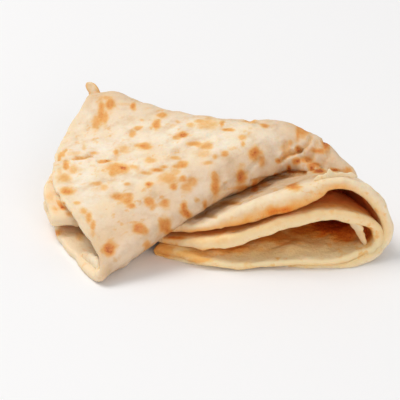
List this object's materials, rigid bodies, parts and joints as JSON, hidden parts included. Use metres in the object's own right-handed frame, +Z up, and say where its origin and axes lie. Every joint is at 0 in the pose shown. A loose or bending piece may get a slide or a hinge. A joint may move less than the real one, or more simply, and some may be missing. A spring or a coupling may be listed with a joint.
{
  "type": "layered flatbread",
  "caption": "Soft pan-browned flatbread folded in quarters into a loose pile of layers that open at the front and at the left.",
  "frame": {"origin": "middle of the bread's box in plan, at the flat underside that it rests on", "axes": "+Z up; -Y towards the layered rim of the lower folds; -X towards the open rim of the upper folds"},
  "size_m": [0.2464, 0.2116, 0.0707],
  "materials": {
    "bread": null
  },
  "bodies": {
    "root": {"flatbread": "bread"}
  },
  "joints": []
}
